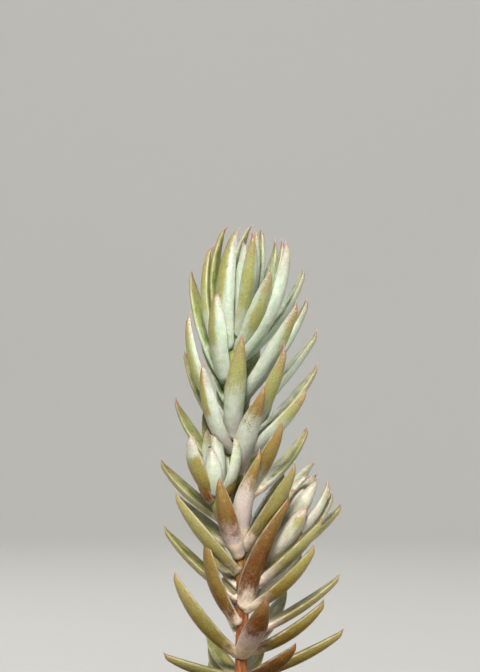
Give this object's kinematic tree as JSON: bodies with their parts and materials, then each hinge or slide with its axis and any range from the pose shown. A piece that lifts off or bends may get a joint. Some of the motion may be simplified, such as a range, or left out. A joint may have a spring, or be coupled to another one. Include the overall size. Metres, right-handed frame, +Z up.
{
  "type": "potted european stonecrop",
  "caption": "Upright leafy succulent shoot with young side shoots, growing in gritty soil in a plain round clay pot with a rim band.",
  "frame": {"origin": "middle of the pot's underside, on the surface it stands on", "axes": "+Z up along the shoot, -Y to the side the picture shows, +X to the right of that side"},
  "size_m": [0.052, 0.052, 0.1143],
  "materials": {
    "clay": "matt unglazed terracotta, slightly chalky",
    "soil": "dull gritty soil",
    "leaf": "fleshy leaf with a waxy bloom, grey-green to olive and bronze",
    "young_leaf": "pale mint young leaf with a waxy bloom and pink tips"
  },
  "bodies": {
    "root": {"pot": "clay", "soil": "soil", "main_shoot": "leaf", "left_side_shoot": "young_leaf", "right_side_shoot": "young_leaf"}
  },
  "joints": []
}
